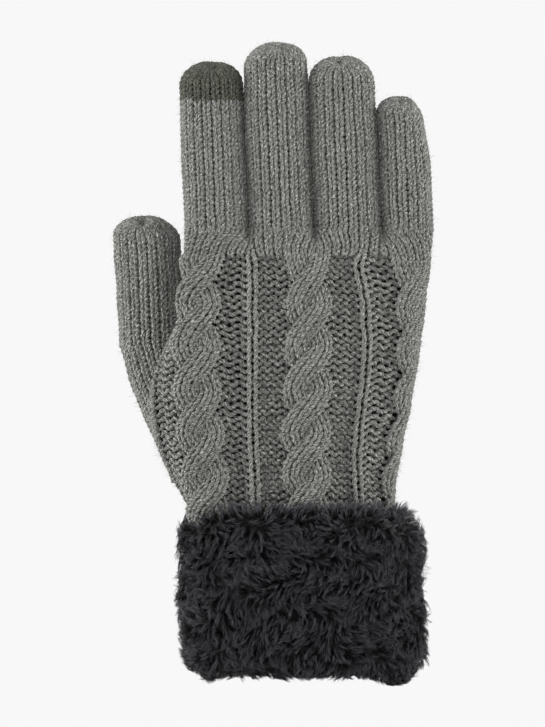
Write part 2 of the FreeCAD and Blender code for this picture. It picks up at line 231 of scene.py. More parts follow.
# %% [markdown]
# ## Tubes of cloth
#
# A digit and the hand are both tubes. `Tube` holds rings of points, even in rows upwards and in wales
# round, and gives the place and the outward direction at any fraction of a row and a wale. A wale is a
# column of stitches. Wale 0 is at the thumb side, and the count runs across the back of the hand first.

# %% The tube
def unit(vectors):
    return vectors / np.maximum(np.linalg.norm(vectors, axis=-1, keepdims=True), 1e-9)


class Tube:
    """A closed tube of cloth, as rings of points from its lowest row to its highest."""

    def __init__(self, points, rows, wales):
        self.points, self.rows, self.wales = points, rows, wales
        along = np.gradient(points, axis=0)
        around = (np.roll(points, -1, 1) - np.roll(points, 1, 1)) / 2
        self.normals = unit(np.cross(around, along))

    def at(self, row, wale):
        """The point and the outward direction at each row and wale."""
        rings, spots = self.points.shape[:2]
        r = np.clip(row / self.rows, 0, 1) * (rings - 1)
        s = (wale / self.wales % 1) * spots
        r0 = np.minimum(r.astype(int), rings - 2)
        s0 = s.astype(int) % spots
        fr, fs = (r - r0)[..., None], (s - np.floor(s))[..., None]
        s1 = (s0 + 1) % spots
        place, outward = (
            (g[r0, s0] * (1 - fs) + g[r0, s1] * fs) * (1 - fr)
            + (g[r0 + 1, s0] * (1 - fs) + g[r0 + 1, s1] * fs) * fr
            for g in (self.points, self.normals)
        )
        return place, unit(outward)


def smooth(x):
    x = np.clip(x, 0, 1)
    return x * x * (3 - 2 * x)


def profile(stations, height, width=9.0):
    """Values at a height, joined smoothly between stations of (height, value, ...)."""
    table = np.array(stations, float)
    fine = np.linspace(table[0, 0] - width, table[-1, 0] + width, 400)
    step = fine[1] - fine[0]
    half = max(1, int(width / 2 / step))
    kernel = np.hanning(2 * half + 3)[1:-1]
    kernel /= kernel.sum()
    out = []
    for column in range(1, table.shape[1]):
        raw = np.interp(fine, table[:, 0], table[:, column])
        padded = np.pad(raw, half, mode="edge")
        out.append(np.interp(height, fine, np.convolve(padded, kernel, "valid")))
    return out


def oval(a, b, spots, power=2.2):
    """An even walk round an oval: it starts at -X and goes over -Y first."""
    turn = np.linspace(0, 2 * math.pi, 721)
    c, s = np.cos(turn), np.sin(turn)
    x = -a * np.sign(c) * np.abs(c) ** (2 / power)
    y = -b * np.sign(s) * np.abs(s) ** (2 / power)
    length = np.concatenate([[0], np.cumsum(np.hypot(np.diff(x), np.diff(y)))])
    even = np.linspace(0, length[-1], spots, endpoint=False)
    return np.interp(even, length, x), np.interp(even, length, y)


# %% [markdown]
# ## Loops of yarn
#
# A knitted loop swings sideways, up and down, and in and out as the yarn goes along the row. On a knit
# stitch the two legs are in front and the arcs behind, and on a purl stitch the other way round. `knit`
# follows the yarn in a spiral up a tube and returns its middle line.

# %% Yarn paths
LOOP_HEIGHT = 1.75     # height of a loop in rows: more than one, so each loop holds the next
LOOP_SWING = 0.21      # how far the legs swing sideways, in wales
LOOP_DEPTH = 0.62      # how far the yarn goes in and out, in mm
LOOP_PINCH = 0.05      # how far the legs of a loop draw together, in wales: it opens a ladder beside them


def knit(tube, first, last, per_stitch=12, kinds=None, cross=None, seed=1, depth=LOOP_DEPTH):
    """The yarn's middle line and the cloth's outward direction, from one row to another.

    kinds gives the loop's height, swing, pinch and face at each wale, and cross moves the finished points.
    """
    noise = np.random.default_rng(seed)
    count = int(round((last - first) * tube.wales))
    step = np.arange(count * per_stitch + 1) / per_stitch
    stitch = step + first * tube.wales
    turn = 2 * math.pi * (stitch % 1)
    jitter = noise.normal(0, 1, (4, count + 2))
    k, f = step.astype(int), (step % 1)
    j = jitter[:, k] * (1 - f) + jitter[:, k + 1] * f
    row = stitch / tube.wales
    plain = (LOOP_HEIGHT, LOOP_SWING, LOOP_PINCH, 1.0)
    high, swing, pinch, face = plain if kinds is None else kinds(stitch % tube.wales, row)
    sideways = swing * (1 + 0.12 * j[0]) * np.sin(2 * turn)
    wale = stitch % tube.wales + sideways + pinch * np.sin(turn) + 0.035 * j[1]
    point_row = row - high / 2 * (1 + 0.06 * j[2]) * np.cos(turn) + 0.05 * j[3]
    lift = np.zeros_like(wale)
    if cross is not None:
        wale, lift = cross(wale, point_row, row)
    out = -face * depth * np.cos(2 * turn) * (1 + 0.1 * j[1]) + lift
    place, outward = tube.at(point_row, wale)
    return place + outward * out[:, None], outward


# %% [markdown]
# ### Meshes from paths
#
# Yarn, hair and thread are all round strands that follow a path, and a lining is a skin over rings of
# points. `Parts` sweeps them as plain quads and joins them into one mesh, which is quicker than a curve for
# each.

# %% Meshes from paths
class Parts:
    """Collects strands and skins, and makes one mesh of them."""

    def __init__(self):
        self.points, self.faces, self.maps, self.slots = [], [], [], []
        self.count = 0

    def add(self, points, faces, uv, slot=0):
        """points (N, 3) in mm, faces (M, 4), uv (M, 4, 2)."""
        self.points.append(points)
        self.faces.append(faces + self.count)
        self.maps.append(uv)
        self.slots.append(np.full(len(faces), slot))
        self.count += len(points)

    def strand(self, path, outward, radius, sides=6, slot=0):
        """Yarn of a given radius along a path."""
        ahead = unit(np.gradient(path, axis=0))
        side = unit(np.cross(ahead, outward))
        up = np.cross(side, ahead)
        turn = 2 * math.pi * np.arange(sides) / sides
        radius = np.broadcast_to(np.asarray(radius, float), len(path))[:, None, None]
        ring = radius * (np.cos(turn)[:, None] * side[:, None] + np.sin(turn)[:, None] * up[:, None])
        points = (path[:, None] + ring).reshape(-1, 3)
        length = np.concatenate([[0], np.cumsum(np.linalg.norm(np.diff(path, axis=0), axis=1))])
        self.add(points, *tube_faces(len(path), sides, length), slot)

    def hairs(self, paths, radius, sides=3, slot=0):
        """Many short tapered hairs. paths is (N, steps, 3), and radius is one number or one for each hair."""
        n, steps = paths.shape[:2]
        ahead = unit(np.gradient(paths, axis=1))
        other = np.where(np.abs(ahead[..., 2:]) < 0.8, [0.0, 0.0, 1.0], [1.0, 0.0, 0.0])
        side = unit(np.cross(ahead, other))
        up = np.cross(side, ahead)
        turn = 2 * math.pi * np.arange(sides) / sides
        taper = np.linspace(1, 0.12, steps) ** 0.8
        size = (np.broadcast_to(np.asarray(radius, float), n)[:, None] * taper)[..., None, None]
        ring = size * (np.cos(turn)[:, None] * side[..., None, :] + np.sin(turn)[:, None] * up[..., None, :])
        points = paths[..., None, :] + ring
        faces, uv = tube_faces(steps, sides, np.linspace(0, 1, steps))
        offsets = np.arange(n)[:, None, None] * steps * sides
        tag = np.random.default_rng(n).uniform(0, 40, n)[:, None, None]
        all_uv = np.tile(uv, (n, 1, 1, 1))
        all_uv[..., 1] += tag
        self.add(points.reshape(-1, 3), (faces + offsets).reshape(-1, 4), all_uv.reshape(-1, 4, 2), slot)

    def skin(self, points, slot=0, scale=1.0):
        """A closed tube of rings (R, S, 3)."""
        rings, spots = points.shape[:2]
        faces, uv = tube_faces(rings, spots, np.arange(rings) * scale)
        self.add(points.reshape(-1, 3), faces, uv, slot)

    def mesh(self, name, materials):
        points = np.concatenate(self.points) * MM
        faces = np.concatenate(self.faces)
        data = bpy.data.meshes.new(name)
        data.vertices.add(len(points))
        data.vertices.foreach_set("co", points.astype(np.float32).ravel())
        data.loops.add(faces.size)
        data.loops.foreach_set("vertex_index", faces.astype(np.int32).ravel())
        data.polygons.add(len(faces))
        data.polygons.foreach_set("loop_start", np.arange(0, faces.size, 4, dtype=np.int32))
        data.polygons.foreach_set("material_index", np.concatenate(self.slots).astype(np.int32))
        data.polygons.foreach_set("use_smooth", np.ones(len(faces), bool))
        uv = data.uv_layers.new(name="yarn")
        uv.data.foreach_set("uv", np.concatenate(self.maps).astype(np.float32).ravel())
        for material in materials:
            data.materials.append(material)
        data.update(calc_edges=True)
        made = bpy.data.objects.new(name, data)
        bpy.context.scene.collection.objects.link(made)
        return made


def tube_faces(rings, sides, length):
    """The quads of a tube of rings, with the distance along it and the turn round it at each corner."""
    r, s = np.meshgrid(np.arange(rings - 1), np.arange(sides), indexing="ij")
    r, s = r.ravel(), s.ravel()
    nxt = (s + 1) % sides
    faces = np.stack([r * sides + s, r * sides + nxt, (r + 1) * sides + nxt, (r + 1) * sides + s], 1)
    u0, u1, v0, v1 = length[r], length[r + 1], s / sides, (s + 1) / sides
    corners = ((u0, v0), (u0, v1), (u1, v1), (u1, v0))
    uv = np.stack([np.stack(corner, 1) for corner in corners], 1)
    return faces, uv


def fuzz(parts, path, outward, count, seed, slot=1, reach=(1.2, 3.0)):
    """Loose fibres that stand off the yarn."""
    noise = np.random.default_rng(seed)
    pick = noise.integers(2, len(path) - 2, count)
    ahead = path[pick + 1] - path[pick - 1]
    turn = noise.normal(0, 1, (count, 3))
    out = unit(outward[pick] + 0.55 * turn)
    start = path[pick] + out * YARN_RADIUS * 0.9
    along = unit(ahead) * noise.choice([-1, 1], (count, 1))
    way = unit(along + 0.7 * out + 0.5 * noise.normal(0, 1, (count, 3)))
    bend = unit(outward[pick] * 0.3 + noise.normal(0, 1, (count, 3)))
    size = noise.uniform(*reach, (count, 1, 1))
    t = np.linspace(0, 1, 4)[None, :, None]
    paths = start[:, None] + size * (t * way[:, None] + 0.45 * t * t * bend[:, None])
    parts.hairs(paths, noise.uniform(0.028, 0.05, count), 3, slot)


print("stitch:", LOOP_HEIGHT, "rows high")

# %% [markdown]
# ## The fingers
#
# Each finger is one tube with a domed, gathered end. Its knit is made in three lengths. Each length holds
# one joint, and the cuts between lengths lie where the cloth doesn't bend.

# %% Tubes of the digits
def wobble(points, seed, size):
    """Small slow unevenness, as in any cloth that isn't stretched over something."""
    noise = np.random.default_rng(seed)
    shift = np.zeros(points.shape[:2])
    for _ in range(7):
        way = noise.normal(0, 1, 3)
        shift += np.sin(points @ way / noise.uniform(6, 16) + noise.uniform(0, 6.3))
    return shift * size / 3.5


def digit_tube(digit, root, seed, below=None):
    """A digit's tube of cloth. below is a list of ring centres under its root, lowest first."""
    a, b = digit["a"] - YARN_INSET, digit["b"] - YARN_INSET
    top, shoulder = digit["length"] - YARN_INSET, digit["length"] - digit["dome"]
    rise = top - shoulder
    turns = np.linspace(0, math.radians(88), 60)
    heights = np.concatenate([np.linspace(0, shoulder, 60)[:-1], shoulder + rise * np.sin(turns) ** 0.8])
    share = np.concatenate([np.ones(59), np.cos(turns) ** 0.8])
    arc = np.concatenate([[0], np.cumsum(np.hypot(np.diff(heights), np.diff(share) * (a + b) / 2))])
    rows = int(round(arc[-1] / FINGER_ROW))
    even = np.linspace(0, arc[-1], rows * 3 + 1)
    heights, share = np.interp(even, arc, heights)[:, None], np.interp(even, arc, share)[:, None]
    spots = digit["wales"] * 4
    x, y = oval(1.0, 1.0, spots, 1.92)
    # Sides press out on a neighbour, and get slimmer towards the end
    slim = smooth((heights / top - 0.45) / 0.5)
    left, right = (swell - slim * narrow for swell, narrow in zip(digit["swell"], digit["narrow"]))
    wide = a + np.where(x < 0, left, right)
    # The end is gathered towards the back of the hand, with a dent where the yarn end draws it up
    flat = smooth((heights - shoulder) / rise)
    px = x * wide * share + digit["tip"] * flat
    py = y * b * share * (1 - 0.25 * flat) - 3.6 * flat ** 2
    pz = heights + y * b * share * np.sin(0.5 * flat) - 0.6 * flat
    near = np.exp(-((px - digit["notch"]) / 2.3) ** 2)
    pz = pz - 2.4 * smooth(1 - share / 0.7) * near
    cos, sin = math.cos(LEAN), math.sin(LEAN)
    world = np.stack([px * cos - pz * sin, py, px * sin + pz * cos], -1) + np.array(root)
    if below is None:
        # One row reaches down into the hand
        step = (world[0] - world[3]) / 3
        below = world[0] + step * np.arange(3, 0, -1)[:, None, None]
    world = np.concatenate([below, world])
    rows += len(below) // 3
    tube = Tube(world, rows, digit["wales"])
    return Tube(tube.points + tube.normals * wobble(world, seed, 0.42)[..., None], rows, digit["wales"])


def lining(tube, first, last, inset=1.7, thick=1.2):
    """A soft inner tube that backs the stitches, with an outer and an inner face."""
    step = np.arange(int(first * 3), int(last * 3) + 1)
    step = step[(step >= 0) & (step < len(tube.points))]
    points, normals = tube.points[step, ::2], tube.normals[step, ::2]
    parts = Parts()
    parts.skin(points - normals * inset)
    parts.skin((points - normals * (inset + thick))[:, ::-1])
    return parts


def knit_piece(name, node_name, tube, first, last, seed, yarn=GREY_YARN, fuzz_count=0, **options):
    """One length of knit with its loose fibres, standing for one CAD node."""
    path, outward = knit(tube, first, last, seed=seed, **options)
    parts = Parts()
    parts.strand(path, outward, YARN_RADIUS)
    if fuzz_count:
        fuzz(parts, path, outward, fuzz_count, seed + 50)
    made = parts.mesh(name, [yarn, GREY_FIBRE])
    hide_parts(node_name)
    return made


# %% [markdown]
# ### Knitting a digit
#
# A real finger is knitted in rounds up to its tip. So is this one: one yarn path climbs the tube, and it is
# cut where the cloth doesn't bend. The index finger changes to the darker yarn at its last joint.

# %% Knit the fingers
def make_digit(name, digit, root, seed, below_rows=1, below=None):
    tube = digit_tube(digit, root, seed, below)
    names = SEGMENTS[len(digit["joints"])]

    def row_of(height):
        return below_rows + height / FINGER_ROW

    bends = [(0.0, 12.0)] + [(j - 8.0, j + 8.0) for j in digit["joints"]]
    if name == "thumb":
        bends[0] = (-6.0, 9.0)
    cuts = [row_of((low[1] + high[0]) / 2) for low, high in zip(bends, bends[1:])]
    cuts = [0.0, *cuts, tube.rows - 0.4]
    for k, segment in enumerate(names):
        label = f"{name}_knit_{segment}"
        spans = [(label, label, cuts[k], cuts[k + 1], GREY_YARN, "knit_yarn")]
        if name == "index" and segment == "tip":
            edge = row_of(digit["joints"][-1])
            spans = [("index_knit_below_tip", "index_touch_tip", cuts[k], edge, GREY_YARN, "knit_yarn"),
                     ("index_touch_tip_knit", "index_touch_tip", edge, cuts[k + 1], TOUCH_YARN, "touch_yarn")]
        for span, (label, cad, low, high, yarn, slot) in enumerate(spans):
            made = knit_piece(label, cad, tube, low, high, seed + 10 * k + span, yarn,
                              fuzz_count=int((high - low) * digit["wales"] * 3))
            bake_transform(made)
        inner = lining(tube, cuts[k], cuts[k + 1]).mesh(f"{name}_lining_{segment}_cloth", [FLEECE])
        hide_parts(f"{name}_lining_{segment}")
        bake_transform(inner)
    return tube


tubes = {}
for number, (name, digit) in enumerate(FINGERS.items()):
    tubes[name] = make_digit(name, digit, (digit["x"], 0.0, ROOT_HEIGHT), 100 * (number + 1))
    print(name, "rows", tubes[name].rows, "wales", tubes[name].wales)

# %% [markdown]
# ## The thumb
#
# The thumb's tube starts inside the hand, low on the palm side, and curves up into the straight thumb.

# %% Knit the thumb
THUMB_LINE = [(80.0, -38.2, 4.6), (92.0, -43.7, 5.8), (101.0, -47.8, 6.8), (111.0, -52.0, 7.6),
              (121.0, -55.8, 8.0), (131.0, -58.8, 8.0), (141.0, -59.2, 8.0)]


def thumb_root_rings(digit):
    """Rings under the thumb's root, square to the curving line of the thumb."""
    z = np.linspace(81.0, 131.0, 200)
    x, y = profile(THUMB_LINE, z, 10.0)
    line = np.stack([x, y, z], 1)
    arc = np.concatenate([[0], np.cumsum(np.linalg.norm(np.diff(line, axis=0), axis=1))])
    count = int(round(arc[-1] / FINGER_ROW)) * 3
    even = np.linspace(0, arc[-1], count + 1)[:-1]
    line = np.stack([np.interp(even, arc, line[:, i]) for i in range(3)], 1)
    ahead = unit(np.gradient(line, axis=0))
    lean = np.array([-math.sin(LEAN), 0, math.cos(LEAN)])
    settle = smooth((line[:, 2:] - 119.0) / 12.0)
    ahead = unit(ahead * (1 - settle) + lean * settle)
    side = unit(np.cross([0.0, 1.0, 0.0], ahead))
    spots = digit["wales"] * 4
    ox, oy = oval(digit["a"] - YARN_INSET, digit["b"] - YARN_INSET, spots)
    rings = line[:, None] + ox[None, :, None] * side[:, None] + oy[None, :, None] * np.array([0.0, 1.0, 0.0])
    return rings, count // 3


rings, root_rows = thumb_root_rings(THUMB)
tubes["thumb"] = make_digit("thumb", THUMB, (THUMB["x"], THUMB["y"], THUMB["z"]), 700, root_rows, rings)
print("thumb rows", tubes["thumb"].rows)

# %% [markdown]
# ## The hand
#
# The back of the hand is a panel of 34 wales: a ground of wide purl stitches, three cables of six narrow
# wales, and two ribs that are a single wide wale each. Every sixth row the left half of each cable crosses
# over the right half. Near the fingers the flat tube turns into four lobes that meet the fingers.

# %% Outline of the hand
PANEL = [("purl", 2), ("cable", 6), ("purl", 2), ("rib", 1), ("purl", 3), ("cable", 6), ("purl", 3),
         ("rib", 1), ("purl", 2), ("cable", 6), ("purl", 2)]
PANEL_WALES = sum(count for _, count in PANEL)
PALM_WALES = 28
HAND_WALES = PANEL_WALES + PALM_WALES
PANEL_TOP = 165.5             # the pattern starts under five plain rows
HAND_LOW = 56.7
# height, left edge, right edge, half depth, how far the left edge rolls towards the back of the hand
OUTLINE = [
    (56.7, -41.3, 34.0, 13.6, 0.0),
    (70.0, -45.0, 34.4, 14.0, 1.0),
    (78.0, -49.2, 35.4, 14.4, 2.0),
    (93.6, -56.0, 38.4, 15.0, 4.0),
    (105.0, -58.6, 40.8, 15.0, 6.0),
    (117.0, -56.8, 42.6, 14.6, 7.5),
    (129.0, -52.4, 44.8, 14.0, 7.0),
    (144.0, -47.0, 46.8, 12.8, 3.0),
    (160.0, -45.4, 48.6, 11.2, 0.8),
    (176.0, -44.6, 50.0, 9.2, 0.0),
]
# height, then the right edge of the first cable, the first rib, the middle cable's edges, the second rib,
# and the left edge of the last cable
COLUMNS = [
    (56.7, -26.4, -17.2, -7.4, 10.6, 21.0, 28.6),
    (74.0, -27.3, -18.0, -7.4, 10.9, 21.4, 29.4),
    (86.0, -28.2, -18.6, -8.4, 10.9, 20.6, 29.8),
    (101.0, -30.0, -19.2, -8.2, 11.0, 21.6, 33.2),
    (117.0, -31.2, -19.2, -7.6, 11.6, 23.9, 35.4),
    (132.0, -31.2, -19.1, -6.8, 11.4, 24.8, 35.4),
    (148.0, -31.0, -19.1, -6.2, 11.4, 23.8, 35.4),
    (164.0, -30.4, -19.2, -5.6, 9.4, 20.9, 34.6),
    (176.0, -29.6, -19.2, -5.6, 8.6, 20.6, 33.4),
]
CABLE_WIDTH = 18.6
RIB_WIDTH = 4.9
SIDE_PURL = 7.6               # the two purl wales that end the panel at each side
KNOT_WALES = (0, 2, 8, 10, 11, 14, 20, 23, 24, 26, 32, 34)


def row_height(row):
    """Height of a row of the hand: taller rows in the pattern, shorter ones above it."""
    pattern_rows = (PANEL_TOP - HAND_LOW) / HAND_ROW
    plain = PANEL_TOP + (row - pattern_rows) * PLAIN_ROW
    return np.where(row < pattern_rows, HAND_LOW + row * HAND_ROW, plain)


PANEL_ROWS = (PANEL_TOP - HAND_LOW) / HAND_ROW
HAND_ROWS = PANEL_ROWS + (ROOT_HEIGHT - PANEL_TOP) / PLAIN_ROW


def lobes(x, z):
    """Half depth of the four finger roots at a place across the hand."""
    depth = np.zeros_like(x)
    for digit in FINGERS.values():
        centre = digit["x"] - math.tan(LEAN) * (z - ROOT_HEIGHT)
        share = np.abs((x - centre) / (digit["a"] + 0.2))
        depth = np.maximum(depth, (digit["b"] - YARN_INSET) * np.maximum(1 - share ** 2.2, 0) ** (1 / 2.2))
    return depth


def wale_places(z, x, arc, front):
    """Distance round the hand's section of each edge between the panel's columns."""
    first, rib, cable_low, cable_high, rib_2, last = (
        float(np.interp(value, x[front], arc[front])) for value in profile(COLUMNS, z)
    )
    half = RIB_WIDTH / 2
    left, right = first - CABLE_WIDTH, last + CABLE_WIDTH
    return [left - SIDE_PURL, left, first, rib - half, rib + half, cable_low, cable_high,
            rib_2 - half, rib_2 + half, last, right, right + SIDE_PURL]


def hand_tube():
    rings = int(round(HAND_ROWS * 4)) + 1
    rows = np.linspace(0, HAND_ROWS, rings)
    spots = HAND_WALES * 4
    turn = np.linspace(-math.pi, math.pi, 1441)
    wales = np.arange(spots) * HAND_WALES / spots
    points = np.zeros((rings, spots, 3))
    for k, z in enumerate(row_height(rows)):
        left, right, b, roll = profile(OUTLINE, z)
        a, middle = (right - left) / 2, (right + left) / 2
        s, c = np.sin(turn), np.cos(turn)
        x = middle + a * np.sign(s) * np.abs(s) ** 0.8
        y = -b * np.sign(c) * np.abs(c) ** 0.8
        y = y - roll * np.maximum(0, (middle - x) / a) ** 2.5
        lobe = np.sign(y) * lobes(x, z)
        y = y + smooth((z - 164.0) / 12.0) ** 1.3 * (lobe - y)
        arc = np.concatenate([[0], np.cumsum(np.hypot(np.diff(x), np.diff(y)))])
        front = np.abs(turn) < math.pi / 2
        knots = np.array(wale_places(z, x, arc, front))
        even = knots[0] + (knots[-1] - knots[0]) * np.array(KNOT_WALES) / PANEL_WALES
        knots += 0.85 * smooth((z - 160.0) / 9.0) * (even - knots)
        place = np.interp(wales, (*KNOT_WALES, HAND_WALES), [*knots, knots[0] + arc[-1]]) % arc[-1]
        points[k, :, 0] = np.interp(place, arc, x)
        points[k, :, 1] = np.interp(place, arc, y)
        points[k, :, 2] = z
    tube = Tube(points, HAND_ROWS, HAND_WALES)
    return Tube(points + tube.normals * wobble(points, 31, 0.28)[..., None], HAND_ROWS, HAND_WALES)


tubes["hand"] = hand_tube()
print("hand rows", round(HAND_ROWS, 1), "wales", HAND_WALES)

# %% [markdown]
# ### The panel's stitches
#
# `stitches` gives each wale its kind of loop. A purl loop shows its arcs and a knit loop its legs.
# `crossing` moves the yarn of each cable sideways and up or down where its halves cross.

# %% The cable panel
CABLE_ROWS = 6.0              # rows from one crossing to the next
FIRST_CROSSING = {2: 35.8, 14: 36.0, 26: 35.4}   # highest crossing of the cable that starts at each wale
CROSSING_SPREAD = 0.56        # share of the rows either side that a crossing leans over
edges, kinds = [0], []
for kind, count in PANEL:
    edges.append(edges[-1] + count)
    kinds.append(kind)
FACE = {"purl": -1.2, "cable": 1.0, "rib": 1.15}
LIFT = {"purl": -1.35, "cable": 0.8, "rib": 0.8}
HIGH = {"purl": 1.5, "cable": LOOP_HEIGHT, "rib": 1.85}
SWING = {"purl": 0.17, "cable": LOOP_SWING, "rib": 0.16}
PINCH = {"purl": 0.0, "cable": 0.04, "rib": 0.0}
THICK = {"purl": 0.92, "cable": 0.78, "rib": 0.8}


def across(wale, values, outside, blur):
    """A value for each kind of column, with short ramps at the column edges."""
    at, value = [-blur], [outside]
    for k, kind in enumerate(kinds):
        at += [edges[k] + blur, edges[k + 1] - blur]
        value += [values[kind]] * 2
    return np.interp(wale, at + [edges[-1] + blur], value + [outside])


def in_panel(row):
    return smooth((PANEL_ROWS + 0.3 - row) / 0.9)


def stitches(wale, row):
    inside = in_panel(row)
    return tuple(
        plain + inside * (across(wale, values, plain, blur) - plain)
        for values, plain, blur in ((HIGH, LOOP_HEIGHT, 0.1), (SWING, LOOP_SWING, 0.1),
                                    (PINCH, LOOP_PINCH, 0.1), (FACE, 1.0, 0.13))
    )


def crossing(wale, point_row, row):
    inside = in_panel(point_row)
    lift = inside * across(wale, LIFT, 0.0, 0.25)
    moved = wale.copy()
    for first, top in FIRST_CROSSING.items():
        place = wale - first
        here = (place > -0.02) & (place < 6.02)
        index = np.maximum(np.round((top - row) / CABLE_ROWS), 0)
        row_phase = (row - top) / CABLE_ROWS + index
        phase = (point_row - top) / CABLE_ROWS + index
        swing = smooth((phase + CROSSING_SPREAD) / (2 * CROSSING_SPREAD))
        hump = 4 * swing * (1 - swing)
        left = place < 3
        over = left == (row_phase < 0)
        travel = np.where(row_phase < 0, swing, 1 - swing)
        centre = np.where(left, 1.5, 4.5)
        along = (place - centre) / 1.5
        widen = 1 + np.where(over, 0.30, 0.45) * hump
        target = centre + np.where(left, 3, -3) * travel + (place - centre) * widen
        edge = np.clip(along, -1, 1) ** 2
        rope = 1.7 * (1 - edge)
        # A strand that crosses over comes down to the ground at its edges
        cross = np.where(over, 2.2 * (1 - 0.6 * edge), -1.3) * hump
        # The last cable lies flatter where it goes round the side of the hand
        flatter = 1 - 0.88 * (first == max(FIRST_CROSSING)) * smooth(target / 3.2)
        moved = np.where(here, first + target, moved)
        # The ground beside the rope is pulled in after it
        beside = np.where(place < 3, place, 6 - place)
        near = (beside < 0) & (beside > -2)
        pull = 0.8 * hump * (1 + beside / 2) * np.where(place < 3, 1, -1)
        moved = np.where(near, moved + pull, moved)
        lift = np.where(here, lift * flatter + inside * (rope + cross) * flatter, lift)
    return moved, lift


# %% [markdown]
# ### Knitting the hand
#
# One yarn goes round and round the hand, through the panel and across the palm. It is then shared out
# between a back piece and a palm piece. Loose fibres are pieces of their own.

# %% Knit the hand
HAND_STEPS = 11               # points along one stitch of the hand
FIRST_ROW = 1.5
HAND_FIBRES = 11000           # loose fibres on each side of the hand
path, outward = knit(tubes["hand"], FIRST_ROW, HAND_ROWS - 0.3, HAND_STEPS, stitches, crossing, seed=41)
stitch = np.arange(len(path)) / HAND_STEPS + FIRST_ROW * HAND_WALES
wale, row = stitch % HAND_WALES, stitch / HAND_WALES
radius = YARN_RADIUS + in_panel(row) * (across(wale, THICK, YARN_RADIUS, 0.2) - YARN_RADIUS)
back = (wale >= 0) & (wale < PANEL_WALES)
BACK_NODES = ("hand_back_knit", "cable_thumb_side", "rib_thumb_side", "cable_middle", "rib_little_side",
              "cable_little_side", "finger_yoke_knit")
for label, chosen, nodes in (("back", back, BACK_NODES),
                             ("palm", ~back, ("hand_palm_knit", "finger_yoke_knit", "thumb_root_knit"))):
    parts, loose = Parts(), Parts()
    flips = np.flatnonzero(np.diff(chosen.astype(int)))
    bounds = np.concatenate([[-1], flips, [len(path) - 1]])
    for low, high in zip(bounds, bounds[1:]):
        if high - low > 3 and chosen[low + 1]:
            span = slice(low + 1, min(high + 2, len(path)))
            parts.strand(path[span], outward[span], radius[span])
    fuzz(loose, path[chosen], outward[chosen], HAND_FIBRES, 43, slot=0)
    for made in (parts.mesh(f"hand_knit_{label}", [GREY_YARN]),
                 loose.mesh(f"hand_fibres_{label}", [GREY_FIBRE])):
        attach(made, "hand")
        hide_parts(*nodes)
        print(made.name, len(made.data.polygons), "faces")

# %% [markdown]
# ### The lining of the hand
#
# The fleece is a plain bag inside the knit. It shows only at the mouth and between the stitches.

# %% Line the hand
deep = lining(tubes["hand"], 0, HAND_ROWS * 4 / 3, inset=2.3)
inner = deep.mesh("hand_lining_cloth", [FLEECE])
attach(inner, "hand")
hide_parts("hand_lining", "thumb_root_lining")

# %% [markdown]
# ## The gathered fingertips
#
# The last row of each digit is drawn up with its own yarn end, and the end is knotted.

# %% Closing knots
for name in tubes:
    if name == "hand":
        continue
    centre = tubes[name].points[-1].mean(0)
    t = np.linspace(0, 2 * math.pi, 90)
    across_knot, deep_knot = np.sin(t) + 2 * np.sin(2 * t), np.cos(t) - 2 * np.cos(2 * t)
    knot = np.stack([1.0 * across_knot, 0.5 * deep_knot, -0.5 * np.sin(3 * t)], 1)
    parts = Parts()
    parts.strand(knot + centre, np.tile([0.0, 0.3, 1.0], (len(t), 1)), 0.5, 7)
    made = parts.mesh(f"{name}_closing_knot", [TOUCH_YARN if name == "index" else GREY_YARN])
    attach(made, f"{name}_tip")
    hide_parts(f"{name}_tip_closure")

# %% [markdown]
# ## The plush cuff
#
# The cuff is a band of plush round the wrist, folded in at the mouth. Its pile grows in tufts. Each tuft is
# a handful of hairs that lean together, and the lean drifts slowly from place to place, which makes the
# swirls.

# %% The cuff's backing
CUFF_HEIGHT = 67.0
CUFF_HALF = (45.2, 24.2)      # half sizes of the backing, under the pile
MOUTH_HALF = (33.2, 10.9)
MOUTH_MIDDLE = -0.75
TUFT_SWELL = 1.1              # how far the broad tufts stand out
# the band's section, from inside the mouth, under the edge, up the side and over to the knit:
# spread from the mouth (0) to the full cuff (1), height
CUFF_SECTION = [
    (0.00, 9.0), (0.00, 7.4), (0.05, 6.2), (0.30, 5.4), (0.66, 5.6), (0.88, 7.4), (0.97, 11.0), (1.00, 19.0),
    (0.98, 33.0), (0.99, 46.0), (1.00, 55.0), (0.98, 60.8), (0.82, 65.0), (0.40, 66.4),
]


CUFF_RINGS, CUFF_SPOTS = 90, 180    # grid of the backing: up the band, and round it
HIDDEN_RINGS = 7              # the lowest rings, inside the mouth, carry no pile


